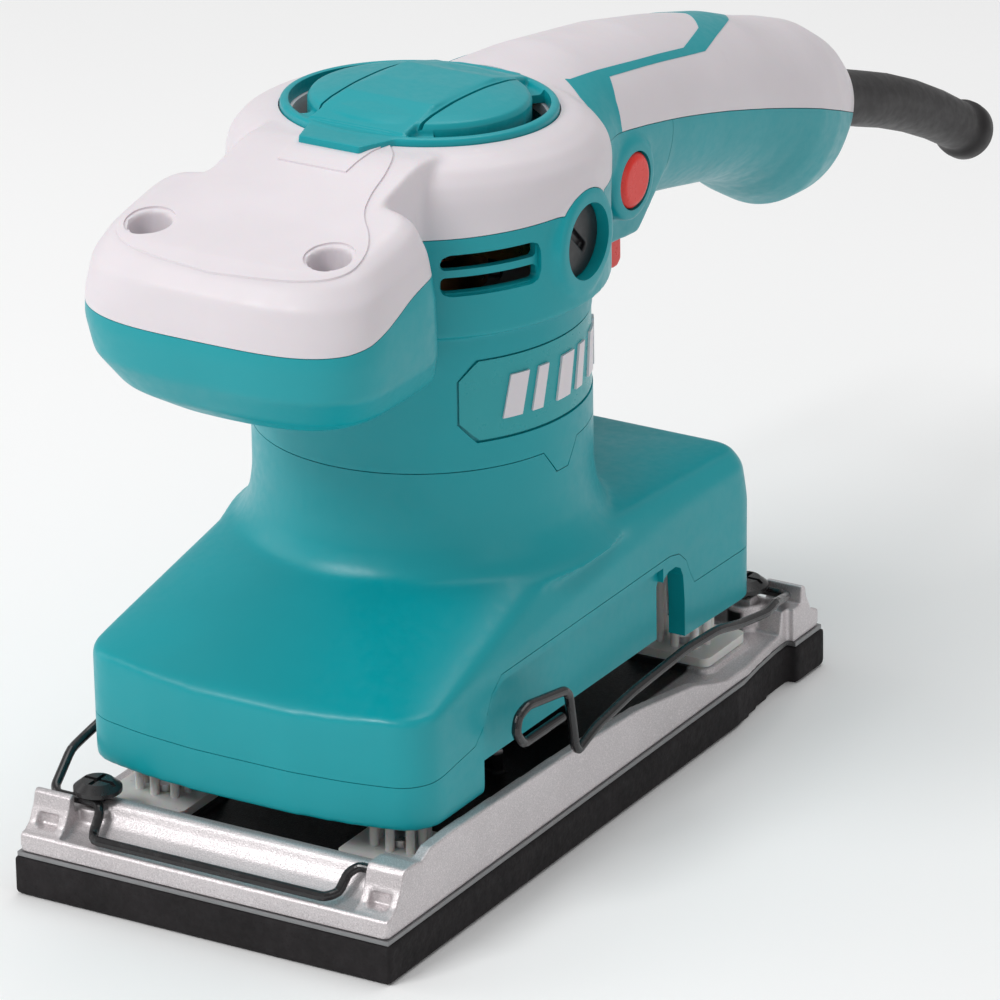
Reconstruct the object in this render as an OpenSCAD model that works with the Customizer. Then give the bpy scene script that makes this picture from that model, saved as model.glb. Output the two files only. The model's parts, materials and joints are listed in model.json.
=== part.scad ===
// Orbital finishing sander for a third of a sheet of abrasive paper.
// Frame: origin at the centre of the pad's underside, +Z up, nose toward -Y.
// Units are millimetres.

/* [Sanding pad] */
// Width of the rubber pad
pad_w = 92; // [90:1:93]
// Length of the rubber pad
pad_l = 186; // [185:1:187]
// Thickness of the rubber pad
pad_t = 8.8; // [7.8:0.2:8.8]

/* [Orbit and motor] */
// Radius of the pad's orbit
throw = 1; // [0.8:0.1:1]
// Radius of the laminated armature core
core_r = 17; // [15:0.5:17.5]
// Radius of the stator stack
stator_r = 31; // [30:0.5:31]

/* [Housing] */
// Radius of the round motor column
column_r = 36.3; // [36:0.1:36.6]
// Radius of the head above the column
head_r = 40.5; // [40:0.1:40.8]
// Length of the lower housing over the pad
base_l = 146; // [144:1:148]
// Width of the lower housing over the pad
base_w = 84; // [83:1:84]

/* [Clamps] */
// Diameter of the clamp wire
wire_d = 2.1; // [1.9:0.1:2.1]
// Distance of the clamp pivots from the middle of the pad
pivot_y = 82.5; // [82:0.5:82.5]

/* [Controls] */
// Radius of the lock button
button_r = 6.2; // [5.6:0.1:6.4]
// Width of the trigger
trigger_w = 15; // [13:1:15]

/* [Hidden] */

$fn = 64;
teal = "#1f9aa0";
shell_white = "#e6dfe4";
pivot_z = 20;
wire_r = wire_d / 2;
lever_x = 47.4;
gap = 0.15;
sheet_z = pad_t + 0.05;
cast_z = pad_t + 1.05;
seam_z = 139.5;
tilt = 3.9;
brush_z = 131.5;
split_y = 73;
guard_a = 24.6;
cast_w = pad_w - 2;
cast_l = pad_l - 2;

// Rounded rectangle with exact corner arcs.
module rrect(w, l, r) {
  square([w - 2 * r, l], center = true);
  square([w, l - 2 * r], center = true);
  for (x = [-1, 1])
    for (y = [-1, 1])
      translate([x * (w / 2 - r), y * (l / 2 - r)]) circle(r);
}

// Thin rounded slab used as a section of a loft.
module slab(w, y0, y1, r, z, h = 0.1)
  translate([0, (y0 + y1) / 2, z])
    linear_extrude(h) rrect(w, y1 - y0, r, $fn = 32);

// A side profile in the YZ plane extruded across X.
module across(x0, x1, pts)
  translate([x0, 0, 0])
    rotate([90, 0, 90])
      linear_extrude(x1 - x0) polygon(pts);

// Two copies, the second turned half a turn about the pad's middle.
module both_ends() {
  children();
  rotate([0, 0, 180]) children();
}

// Housing parts sit over the motor axis, one throw ahead of the pad's middle.
module on_motor() translate([0, -throw, 0]) children();

// Bent rod: rounds each corner of the path, then sweeps a ring of points along it.
function unit(v) = v / norm(v);
function corner(a, b, c) =
  let (k = min(2.4, 0.34 * norm(b - a), 0.34 * norm(c - b)),
    p = b - unit(b - a) * k, q = b + unit(c - b) * k) [p, (p + q + 2 * b) / 4, q];
function rounded(pts) = concat([pts[0]],
  [for (i = [1 : len(pts) - 2]) each corner(pts[i - 1], pts[i], pts[i + 1])],
  [pts[len(pts) - 1]]);
function heading(p, i) = let (n = len(p) - 1)
  unit((i == 0 ? [0, 0, 0] : unit(p[i] - p[i - 1])) + (i == n ? [0, 0, 0] : unit(p[i + 1] - p[i])));
function across_of(p, i, v) = i == len(p) ? [] :
  let (t = heading(p, i), n = unit(v - (v * t) * t)) concat([n], across_of(p, i + 1, n));

// Closed skin through a row of rings that all have the same number of points.
module skin(rings) {
  n = len(rings[0]);
  m = len(rings);
  polyhedron(points = [for (ring = rings) each ring], faces = concat(
    [[for (k = [0 : n - 1]) k]],
    [[for (k = [0 : n - 1]) m * n - 1 - k]],
    [for (i = [0 : m - 2]) for (k = [0 : n - 1])
      [i * n + k, (i + 1) * n + k, (i + 1) * n + (k + 1) % n]],
    [for (i = [0 : m - 2]) for (k = [0 : n - 1])
      [i * n + k, (i + 1) * n + (k + 1) % n, i * n + (k + 1) % n]]));
}

module rod(pts, r, sides = 16) {
  p = rounded(pts);
  n = across_of(p, 0, [0, 0.31, 0.95]);
  skin([for (i = [0 : len(p) - 1]) let (b = cross(heading(p, i), n[i]))
    [for (k = [0 : sides - 1]) let (a = (k + 0.5) * 360 / sides)
      p[i] + r * (cos(a) * n[i] + sin(a) * b)]]);
}

// ---- pad and platen ----

// Recess in the long edge that lets the clamp lever swing down.
module edge_scoop(z0, z1)
  both_ends() translate([0, 0, z0]) linear_extrude(z1 - z0)
    polygon([[60, 50], [46.2, 52], [45.3, 58], [44.2, 66], [43.3, 76], [43.3, 80.6],
      [60, 80.6]]);

module rubber_pad() color("#2b2829") difference() {
  union() {
    linear_extrude(pad_t) square([pad_w, pad_l], center = true);
  }
  for (s = [-1, 1]) {
    translate([s * pad_w / 2, 0, 0]) rotate([0, 45, 0]) cube([1, pad_l + 2, 1], center = true);
    translate([0, s * pad_l / 2, 0]) rotate([45, 0, 0]) cube([pad_w + 2, 1, 1], center = true);
  }
  edge_scoop(-1, pad_t + 1);
}

module backing_sheet() color("#b9b7b5") difference() {
  translate([0, 0, sheet_z]) linear_extrude(0.95)
    square([cast_w + 0.8, cast_l + 0.8], center = true);
  edge_scoop(0, 20);
  translate([0, 0, 0]) cylinder(r = 16, h = 20);
}

module platen_end_profile()
  across(-36, 36, [[-91.9, cast_z + 1], [-91.9, 13.4], [-91.3, 14], [-90.6, 14],
    [-90.2, 13.1], [-87.6, 13.3], [-85.4, 14.1], [-83.2, 15.6], [-81.6, 17.4],
    [-80.6, 19.2], [-79.6, 19.9], [-77.6, 19.9], [-76.8, 18.6], [-76.6, cast_z + 1]]);

module pin_ear() across(36, 45, [[-91.9, cast_z + 1], [-91.9, 13.4], [-91.3, 14],
  [-90.4, 14], [-88, 15.4], [-86, 18.6], [-85, 21.6], [-84, 22.6], [-80, 22.6],
  [-77, 21.8], [-76, 20.5], [-75.6, cast_z + 1]]);

module lever_ear() across(-45, -36, [[-91.9, cast_z + 1], [-91.9, 13.4], [-91.3, 14],
  [-90.4, 14], [-88.4, 15.4], [-86.6, 18.8], [-86, 21.2], [-85.2, 21.8], [-84.4, 21.6],
  [-84.2, 17.6], [-78.4, 17.6], [-77, cast_z + 1]]);

module side_rail() across(42.2, 45, [[-78, cast_z + 1], [-78, 21.8], [-74, 23.6],
  [-65, 23.8], [-18, 22.3], [12, 20.6], [36, 16.8], [46, 13.6], [52, cast_z + 2.2],
  [84, cast_z + 2.2], [84, cast_z + 1]]);

module platen_casting() color("#bdb6b9") difference() {
  union() {
    translate([0, 0, cast_z]) linear_extrude(2.4) rrect(cast_w, cast_l, 1);
    both_ends() {
      platen_end_profile();
      pin_ear();
      lever_ear();
      side_rail();
      translate([-33.4, -79.3, cast_z]) cylinder(r = 4.2, h = 18.3 - cast_z);
    }
    translate([0, 0, cast_z]) cylinder(r = 19, h = 15);
    for (a = [0 : 60 : 300])
      rotate([0, 0, a + 30]) translate([16, -1.2, cast_z]) cube([14, 2.4, 8]);
    for (x = [-29, 29])
      for (y = [-60, 60])
        translate([x, y + sign(y), cast_z]) linear_extrude(3.4) rrect(22, 20, 3);
  }
  edge_scoop(0, 30);
  both_ends() {
    translate([35, -pivot_y, pivot_z]) rotate([0, 90, 0]) cylinder(r = wire_r + 0.05, h = 8);
    translate([38, -89.6, 14.6]) cube([5, 3.6, 3]);
    translate([-43, -89.6, 14.6]) cube([5, 3, 3]);
    translate([-33.4, -79.3, 0]) cylinder(r = 2.02, h = 40);
  }
  translate([0, 0, 13.2]) cylinder(r = 14.02, h = 20);
  translate([0, 0, 0]) cylinder(r = 11, h = 20);
  for (x = [-29, 29])
    for (y = [-60, 60])
      translate([x, y, 0]) cylinder(r = 1.7, h = 30);
}

// Clamp at the nose end; the one at the handle end is the same turned half round.
clamp_path = [[41.5, -pivot_y, pivot_z], [32.6, -pivot_y, pivot_z], [31, -84.2, 18.8],
  [30.6, -87.4, 15.6], [28.8, -90, 15.3], [-27.6, -90, 15.3], [-29.4, -87.4, 15.6],
  [-29.8, -84.2, 18.8], [-31.4, -pivot_y, pivot_z], [-41.5, -pivot_y, pivot_z],
  [-43.2, -80.6, 20.6], [-46.4, -69.6, 23.9], [-lever_x, -64, 23.9],
  [-lever_x, -52, 25.8], [-lever_x, -42, 28.3], [-lever_x, -28, 29.1],
  [-lever_x, -4.7, 28.1], [-lever_x, 10.6, 26.2], [-lever_x, 18, 23.8],
  [-lever_x, 19.4, 25.2], [-lever_x, 21.8, 38], [-lever_x, 23.6, 39.6],
  [-lever_x, 38.8, 42.2], [-lever_x, 42.6, 41], [-lever_x, 43.6, 37.8],
  [-lever_x, 40.8, 34.2], [-lever_x, 24.6, 34]];

module clamp_wire() color("#1c1b1d") rod(clamp_path, wire_r);
module front_clamp_wire() clamp_wire();
module rear_clamp_wire() rotate([0, 0, 180]) clamp_wire();

module clamp_screws() color("#232224") both_ends()
  translate([-33.4, -79.3, 0]) difference() {
    union() {
      translate([0, 0, 12.4]) cylinder(r = 2, h = 10);
      translate([0, 0, 21.3]) cylinder(r = 5.2, h = 0.9);
      translate([0, 0, 22.2]) cylinder(r1 = 5.2, r2 = 3.4, h = 1.5);
    }
    translate([-6, -0.5, 22.9]) cube([12, 1, 3]);
    translate([-0.5, -3, 22.9]) cube([1, 6, 3]);
  }

// Flexible nylon foot: base plate, a cluster of thin posts and a top plate.
module foot_at(x, y) translate([x, y, 13.35]) {
  difference() {
    translate([0, sign(y), 0]) linear_extrude(2) rrect(20, 18, 2);
    translate([0, 0, -1]) cylinder(r = 1.65, h = 5);
  }
  for (p = [[-4.4, -3.4], [4.4, -3.4], [-4.4, 3.4], [4.4, 3.4], [-5.4, 0], [5.4, 0], [0, -4.4], [0, 4.4]])
    translate([p[0], p[1], 1.5]) cylinder(r = 1, h = 19, $fn = 24);
  translate([0, 0, 20]) linear_extrude(2.4) rrect(11.6, 9.6, 2);
}

module flex_feet() color("#e8e6e1")
  for (x = [-29, 29])
    for (y = [-60, 60]) foot_at(x, y);

module foot_screws() color("#6f6f72")
  for (x = [-29, 29])
    for (y = [-60, 60])
      translate([x, y, 0]) {
        translate([0, 0, 10.4]) cylinder(r = 1.6, h = 5.2);
        translate([0, 0, 15.45]) cylinder(r = 3.1, h = 1.6);
      }

// ---- bearings and rotor ----

// Ball bearing as two rings and a set of balls.
module ball_bearing(r_in, r_out, h) {
  w = (r_out - r_in) / 2;
  m = (r_out + r_in) / 2;
  difference() {
    union() {
      difference() {
        cylinder(r = r_out, h = h);
        translate([0, 0, -1]) cylinder(r = r_out - w * 0.55, h = h + 2);
      }
      difference() {
        cylinder(r = r_in + w * 0.55, h = h);
        translate([0, 0, -1]) cylinder(r = r_in, h = h + 2);
      }
      translate([0, 0, h * 0.42]) difference() {
        cylinder(r = m + w * 0.6, h = h * 0.16);
        translate([0, 0, -1]) cylinder(r = m - w * 0.6, h = h + 2);
      }
    }
  }
}

module platen_bearing() color("#a9abae") translate([0, 0, 13.3]) ball_bearing(6, 14, 8);

module eccentric_hub() color("#8d8f93") {
  on_motor() difference() {
    translate([0, 0, 23.4]) cylinder(r = 11, h = 21);
    translate([0, 0, 30]) cylinder(r = 4.02, h = 40);
  }
  difference() {
    translate([0, 0, 13.6]) cylinder(r = 5.95, h = 10.2);
    translate([0, 0, 10]) cylinder(r = 2.5, h = 12);
  }
}

module eccentric_screw() color("#4a4b4e") {
  translate([0, 0, 13.1]) cylinder(r = 2.45, h = 8.4);
  translate([0, 0, 12.4]) cylinder(r = 7.6, h = 0.8);
  difference() {
    translate([0, 0, 10.2]) cylinder(r = 4.4, h = 2.3);
    translate([0, 0, 9.8]) cylinder(r = 2, h = 1.9, $fn = 6);
  }
}

module counterweight() color("#77797d") on_motor() difference() {
  union() {
    translate([0, 0, 30]) cylinder(r = 14, h = 10);
    intersection() {
      translate([0, 0, 30]) cylinder(r = 27, h = 10);
      translate([-30, -30, 29]) cube([60, 24, 12]);
    }
  }
  translate([0, 0, 20]) cylinder(r = 11.02, h = 40);
}

module cooling_fan() color("#2e2f33") on_motor() difference() {
  union() {
    translate([0, 0, 48]) cylinder(r = 8, h = 14);
    translate([0, 0, 48]) cylinder(r = 30, h = 1.8);
    for (a = [0 : 30 : 330])
      rotate([0, 0, a]) translate([12, 0, 49.5]) rotate([0, 0, 28]) cube([16.4, 1.3, 9.5]);
    difference() {
      translate([0, 0, 57.6]) cylinder(r = 30, h = 1.4);
      translate([0, 0, 57]) cylinder(r = 17, h = 4);
    }
  }
  translate([0, 0, 40]) cylinder(r = 4.02, h = 40);
}

module motor_shaft() color("#9a9ca0") on_motor() {
  translate([0, 0, 31]) cylinder(r = 4, h = 53);
  translate([0, 0, 84]) cylinder(r = 5, h = 36);
  translate([0, 0, 120]) cylinder(r = 4, h = 29.5);
}

module armature_core() color("#6b6764") on_motor() difference() {
  translate([0, 0, 86]) cylinder(r = core_r, h = 30);
  translate([0, 0, 80]) cylinder(r = 5.02, h = 50);
  for (a = [0 : 30 : 330])
    rotate([0, 0, a]) translate([core_r - 4.5, -0.9, 80]) cube([8, 1.8, 50]);
}

module armature_windings() color("#a4552a") on_motor()
  for (z = [80.5, 116.05]) difference() {
    translate([0, 0, z]) cylinder(r = core_r - 2.5, h = 5.4);
    translate([0, 0, z - 1]) cylinder(r = 7, h = 10);
  }

module commutator() color("#b87333") on_motor() difference() {
  translate([0, 0, 123]) cylinder(r = 11, h = 13.4);
  translate([0, 0, 120]) cylinder(r = 4.02, h = 20);
  for (a = [0 : 15 : 345])
    rotate([0, 0, a]) translate([9.6, -0.25, 120]) cube([4, 0.5, 20]);
}

module lower_bearing() color("#a9abae") on_motor()
  translate([0, 0, 68.2]) ball_bearing(4.05, 13, 8);

module upper_bearing() color("#a9abae") on_motor()
  translate([0, 0, 141.2]) ball_bearing(4.05, 11, 7);

module bearing_plate() color("#a8a5a5") on_motor() difference() {
  union() {
    translate([0, 0, 70]) cylinder(r = 33.4, h = 3.4);
    translate([0, 0, 66.4]) cylinder(r = 16, h = 11.4);
  }
  translate([0, 0, 68.15]) cylinder(r = 13.02, h = 30);
  translate([0, 0, 60]) cylinder(r = 9, h = 20);
  for (a = [45 : 90 : 315])
    rotate([0, 0, a]) translate([24.5, 0, 60]) cylinder(r = 5, h = 20);
  for (a = [0 : 90 : 270])
    rotate([0, 0, a]) translate([29.5, 0, 60]) cylinder(r = 1.8, h = 20);
}

module bearing_plate_screws() color("#6f6f72") on_motor()
  for (a = [0 : 90 : 270])
    rotate([0, 0, a]) translate([29.5, 0, 0]) {
      translate([0, 0, 67.5]) cylinder(r = 3, h = 2.4);
      translate([0, 0, 69.8]) cylinder(r = 1.7, h = 9);
    }

// ---- stator and brushes ----

module stator_core() color("#5f5c5a") on_motor() difference() {
  translate([0, 0, 84]) cylinder(r = stator_r, h = 33);
  translate([0, 0, 80]) cylinder(r = core_r + 0.6, h = 50);
  for (s = [-1, 1])
    for (t = [-1, 1])
      translate([s * 14 - 5, t * 19.5 - 4, 80]) cube([10, 8, 50]);
}

module field_coils() color("#9c4f28") on_motor()
  for (t = [-1, 1]) {
    for (s = [-1, 1])
      translate([s * 14 - 4.6, t * 19.5 - 3.6, 80.2]) cube([9.2, 7.2, 40.6]);
    for (z = [80.2, 117.2])
      translate([-14, t * 19.5 - 3.6, z]) cube([28, 7.2, 3.6]);
  }

module brush_holders() color("#b08d46") on_motor()
  for (s = [0, 180])
    rotate([0, 0, s]) difference() {
      translate([13, -4.6, brush_z - 6.2]) cube([20.6, 9.2, 12.4]);
      translate([12, -3.35, brush_z - 5.1]) cube([30, 6.7, 10.2]);
    }

module carbon_brushes() color("#2a2a2c") on_motor()
  for (s = [0, 180])
    rotate([0, 0, s]) translate([11.15, -3.2, brush_z - 5]) cube([12.6, 6.4, 10]);

module brush_springs() color("#8b8d90") on_motor()
  for (s = [0, 180])
    rotate([0, 0, s])
      for (i = [0 : 4])
        translate([24.6 + i * 1.8, 0, brush_z]) rotate([0, 90, 0]) difference() {
          cylinder(r = 2.6, h = 0.8, $fn = 32);
          translate([0, 0, -1]) cylinder(r = 1.8, h = 3, $fn = 32);
        }

module brush_caps() color("#1f1e20") on_motor()
  for (s = [0, 180])
    rotate([0, 0, s]) difference() {
      union() {
        translate([33.8, 0, brush_z]) rotate([0, 90, 0]) cylinder(r = 7.2, h = 2);
        translate([35.8, 0, brush_z]) rotate([0, 90, 0]) cylinder(r = 8.1, h = 3);
      }
      translate([37.4, 0, brush_z]) rotate([45, 0, 0]) translate([0, -1, -3.6]) cube([4, 2, 7.2]);
    }

// ---- lower housing over the pad ----

// Outside of the lower housing, grown by o.
module base_form(o) hull() {
  slab(base_w + 2 * o, -71.6 - o, base_l - 73.6 + o, 9, 24);
  slab(base_w + 2 * o, -72 - o, base_l - 73.2 + o, 9, 49);
  for (z = [24, 48]) slab(base_w - 26 + 2 * o, -73.6 - o, base_l - 72 + o, 6, z);
  for (z = [24, 47]) slab(base_w - 54 + 2 * o, -74.6 - o, base_l - 71.4 + o, 3, z);
  slab(base_w - 1 + 2 * o, 30 - o, 71 + o, 8, 57);
  slab(base_w - 6 + 2 * o, 26 - o, 69 + o, 6, 60.4);
  translate([0, 0, 63.5]) cylinder(r = 38.5 + o, h = 0.1, $fn = 48);
}

// Side profile below the joint between the lower housing and its skirt.
module split_prism(e) across(-60, 60, [[-90, 10], [-90, 33 + e], [-66, 34.5 + e],
  [-50, 36.5 + e], [-46 - e, 40], [-43 - e, 45.5 + e], [-39, 48.5 + e], [32, 48.5 + e],
  [36, 47.6 + e], [39 + e, 45], [41 + e, 41], [42.6 + e, 38.6 + e], [60, 38.2 + e],
  [90, 37 + e], [90, 10]]);

module base_shell() intersection() {
  difference() {
    base_form(0);
    translate([0, 0, -3.2]) base_form(-4);
    translate([0, 0, 57]) cylinder(r = 33.5, h = 30);
  }
  translate([-base_w / 2, -90, 0]) cube([base_w, 180, 100]);
}

module base_skirt() color(teal) on_motor() difference() {
  union() {
    intersection() {
      base_shell();
      split_prism(-gap);
    }
    for (x = [-34, 34])
      for (y = [-30, 12]) translate([x, y, 33]) cylinder(r = 4.3, h = 15.3);
  }
  for (x = [-34, 34])
    for (y = [-30, 12]) translate([x, y, 20]) cylinder(r = 1.75, h = 40);
  across(-60, 60, [[-46.5, 10], [-46.5, 30.7], [28.4, 30.2], [28.4, 42.4],
    [29.4, 44.2], [31.4, 45.2], [34.4, 45.2], [36.4, 44.2], [37.6, 42], [38.2, 36], [38.2, 27.5],
    [80, 26], [80, 10]]);
  for (s = [-1, 1])
    across(s * 42 - 1.6, s * 42 + 1.6, [[-46.5, 10], [-46.5, 40], [-42.4, 44.6],
      [-38.5, 46.6], [29, 46.6], [29, 10]]);
}

module skirt_screws() color("#2c2c2e") on_motor()
  for (x = [-34, 34])
    for (y = [-30, 12]) translate([x, y, 0]) {
      translate([0, 0, 30.6]) cylinder(r = 3, h = 2.35);
      translate([0, 0, 32.9]) cylinder(r = 1.65, h = 19);
    }

module base_housing() color(teal) on_motor() {
    difference() {
      base_shell();
      split_prism(gap);
    }
    difference() {
      union() {
        translate([0, 0, 60]) cylinder(r = column_r, h = 26);
        rotate_extrude() polygon([[34, 60], [43, 60.6], [40.6, 62.4], [38.6, 65],
          [37.1, 68.6], [36.2, 73], [34, 73]]);
      }
      translate([0, 0, 50]) cylinder(r = 33.5, h = 60);
    }
    for (x = [-34, 34])
      for (y = [-30, 12]) translate([x, y, 48.7]) difference() {
        cylinder(r = 4.3, h = 8.4);
        translate([0, 0, -1]) cylinder(r = 1.7, h = 8);
      }
    for (a = [0 : 90 : 270])
      rotate([0, 0, a]) translate([29.5, 0, 73.6]) difference() {
        translate([-3.4, -3.6, 0]) cube([8, 7.2, 8]);
        translate([0, 0, -1]) cylinder(r = 1.75, h = 12);
      }
}

// ---- motor housing, cover and handle ----

// Line between the white cover and the teal shells, seen from the side.
module seam_prism(e, up) across(-60, 60, concat([[-110, 130.5 + e], [-80, 131 + e],
  [-66, 135.6 + e], [-58, 138.4 + e], [-50, seam_z + e], [22, seam_z + e],
  [47, 136.9 + e], [85, 128.5 + e], [122, 118 + e], [152, 107.8 + e], [230, 74 + e]],
  up ? [[230, 190], [-110, 190]] : [[230, 20], [-110, 20]]));

module nose_form(o) hull() {
  slab(30 + 2 * o, -60 - o, -34, 8, 106.4 - o);
  slab(48 + 2 * o, -72 - o, -38, 14, 109);
  slab(64 + 2 * o, -81 - o, -44, 14, 116);
  slab(69.6 + 2 * o, -84.6 - o, -48 + o, 12, 128);
  slab(69 + 2 * o, -84 - o, -48.4 + o, 12, 137);
  slab(64 + 2 * o, -80.6 - o, -49 + o, 11, 145 + o * 0.4);
  slab(56 + 2 * o, -76 - o, -49 + o, 8, 147.8 + o);
}

// Handle sections: y, z, drop of the axis in degrees, half width, half height.
handle_sections = [[18, 136.5, 4, 33, 19.5], [30, 135.5, 6, 27.2, 19.8],
  [47, 133.6, 9, 21.6, 20], [76, 128.6, 11, 20, 19.8], [98, 123.6, 14, 19.6, 19.4],
  [118, 118, 17, 19.8, 19.4], [127, 114.4, 19, 20, 19.6], [139, 109.2, 21, 20, 20.4],
  [148, 105.2, 22, 19.2, 20.2], [160, 101.2, 24, 16.4, 18], [170, 99, 24.6, 11.8, 13.6],
  [176.6, 98.4, 24.6, 6.8, 8.6]];
hollow_sections = [[28, 136, 4, 21, 15], [69, 130.1, 10, 16.5, 14.8], [160, 102.4, 22, 13, 12]];

module loft(sections, o, n = 40) skin([for (c = sections) [for (k = [0 : n - 1])
  let (a = (k + 0.5) * 360 / n, v = (c[4] + o) * sin(a))
    [(c[3] + o) * cos(a), c[0] - v * sin(c[2]), c[1] - v * cos(c[2])]]]);

module handle_form(o) loft(handle_sections, o);
module handle_hollow() loft(hollow_sections, 0);

// Line of the cord guard through the handle's end.
module guard_line() translate([0, 187, 95.7]) rotate([-90 - guard_a, 0, 0]) children();

module head_ring() difference() {
  cylinder(r = head_r, h = 22.3);
  translate([0, 0, 3]) cylinder(r = head_r - 3, h = 30);
  translate([0, 0, -1]) cylinder(r = 33.6, h = 10);
}

module vent_slots(z, h, r = 30)
  for (s = [0, 1]) mirror([s, 0, 0])
    translate([0, 0, z]) rotate([0, 0, -53]) rotate_extrude(angle = 33)
      translate([r, 0]) square([46 - r, h]);

module motor_housing() color(teal) on_motor() difference() {
  union() {
    difference() {
      union() {
        translate([0, 0, 86.3]) cylinder(r = column_r, h = 34);
        intersection() {
          translate([0, 0, 117]) cylinder(r = head_r, h = 22.3);
          seam_prism(-gap, false);
        }
        intersection() {
          union() {
            nose_form(0);
            translate([-17, -60, 108]) cube([34, 40, 40]);
            loft([handle_sections[0], handle_sections[1], handle_sections[2]], 0);
            hull() {
              loft([handle_sections[2], handle_sections[3]], 0);
              translate([-15, 66, 106.2]) cube([30, 0.6, 1]);
              translate([-15, 38, 109]) cube([30, 1, 1]);
            }
          }
          seam_prism(-gap, false);
          translate([-60, -100, 50]) cube([120, 100 + split_y - gap, 100]);
        }
        translate([12, button_y, button_z]) rotate([0, 90, 0]) cylinder(r = 9, h = 10.2);
      }
      translate([0, 0, 80]) cylinder(r = 33.7, h = 50);
      translate([0, 0, 119]) cylinder(r = head_r - 3, h = 40);
      hull() {
        slab(62.6, -81, -40, 9, 128);
        slab(62.6, -81, -40, 9, 142);
        slab(40, -68, -34, 10, 112);
      }
      translate([-14, -60, 112.5]) cube([28, 40, 40]);
      translate([-12, 20, 110.7]) cube([24, 60, 40]);
      translate([-15.4, 20, 118]) cube([30.8, 60, 40]);
    }
    for (a = [45 : 90 : 315])
      rotate([0, 0, a]) translate([stator_r + 0.05, -3, 88]) cube([3.4, 6, 28]);
    for (s = [-1, 1]) translate([s * 30.3, 0, 131.8]) cube([11.8, 17, 17.6], center = true);
    for (s = [-1, 1]) intersection() {
      translate([s * 38.8, 0, brush_z]) rotate([0, 90, 0]) cylinder(r = 11.2, h = 5.6, center = true);
      translate([0, 0, 100]) cylinder(r = head_r + 0.8, h = 50);
    }
    translate([-27, -4, 138]) cube([54, 8, 2.6]);
    translate([0, 0, 138]) cylinder(r = 13.4, h = 10.4);
    for (x = [-21.5, 21.5]) translate([x, -69.6, 115]) cylinder(r = 4.4, h = 17.6);
  }
  for (s = [-1, 1]) {
    translate([s * 38, 0, brush_z]) rotate([0, 90, 0]) cylinder(r = 8.2, h = 8, center = true);
    translate([s * 30, 0, brush_z]) cube([30, 9.4, 12.6], center = true);
    translate([s * 36, 0, brush_z]) rotate([0, 90, 0]) cylinder(r = 7.3, h = 5, center = true);
  }
  translate([0, 0, 141.15]) cylinder(r = 11.02, h = 20);
  translate([0, 0, 130]) cylinder(r = 8, h = 20);
  for (x = [-21.5, 21.5]) translate([x, -69.6, 117]) cylinder(r = 1.75, h = 30);
  vent_slots(127.2, 3.4);
  vent_slots(132.2, 3.4);
  vent_slots(126.8, 9.2, 39.2);
  translate([button_x() - 12, button_y, button_z])
    rotate([0, 90, 0]) cylinder(r = button_r + 0.3, h = 16);
  translate([-trigger_w / 2 - 0.4, 52.6, 95]) cube([trigger_w + 0.8, 20.4, 30]);
  for (s = [0, 1]) mirror([s, 0, 0])
    translate([0, 0, 92]) rotate([0, 0, -47]) rotate_extrude(angle = 94)
      translate([column_r - 0.8, 0]) square([4, 18.6]);
}

function button_x() = 21.4;
button_y = 53;
button_z = 124;

module top_cover() color(shell_white) on_motor() difference() {
  union() {
    intersection() {
      union() {
        difference() {
          union() {
            nose_form(0);
            handle_form(0);
          }
          hull() {
            slab(62.6, -81, -46, 9, 125);
            slab(62, -80.4, -46, 9, 138);
            slab(50, -73, -46, 6, 144.8);
          }
          handle_hollow();
          translate([0, 0, 110]) cylinder(r = head_r - 3, h = 40);
          translate([-18, -60, 110]) cube([36, 40, 36]);
        }
        difference() {
          union() {
            translate([0, 0, 134]) rotate([-tilt, 0, 0]) rotate_extrude() polygon([[20, 0],
              [head_r, 0], [head_r, 11], [head_r - 0.8, 14], [head_r - 3.2, 17],
              [head_r - 6.6, 19], [30.4, 19.9], [20, 19.9]]);
          }
          translate([0, 0, 120]) cylinder(r = head_r - 3, h = 28.6);
        }
        difference() {
          across(-21, 21, [[-60, 130], [-60, 146], [-50, 149.6], [-44, 153], [-39, 155.8],
            [-36, 156.2], [-30, 155.8], [-26, 155.4], [-20, 154.6], [-20, 130]]);
          across(-18, 18, [[-62, 120], [-62, 143], [-50, 146.6], [-38, 149], [-15, 149],
            [-15, 120]]);
        }
        for (x = [-21.5, 21.5]) translate([x, -69.6, 126.3]) cylinder(r = 6.6, h = 20);
      }
      seam_prism(gap, true);
    }
    translate([0, 92, 113.9]) cylinder(r = 4, h = 26);
    translate([0, 150, 95.9]) cylinder(r = 4, h = 26);
  }
  for (p = [[92, 110], [150, 92]]) translate([0, p[0], p[1]]) cylinder(r = 1.75, h = 19);
  translate([0, 0, 134]) rotate([-tilt, 0, 0]) translate([0, 0, 18.3]) cylinder(r = 29.6, h = 20);
  translate([0, 0, 130]) cylinder(r = 24.6, h = 40);
  for (x = [-21.5, 21.5]) {
    translate([x, -69.6, 137.4]) cylinder(r = 4.8, h = 30);
    translate([x, -69.6, 110]) cylinder(r = 1.75, h = 40);
  }
  for (s = [-1, 1]) translate([s * 39, 0, brush_z]) rotate([0, 90, 0])
    cylinder(r = 11.45, h = 8, center = true);
  guard_line() translate([0, 0, -30]) cylinder(r = 6.6, h = 60);
  guard_line() translate([0, 0, -22.1]) cylinder(r = 9.1, h = 5.6);
}

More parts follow.
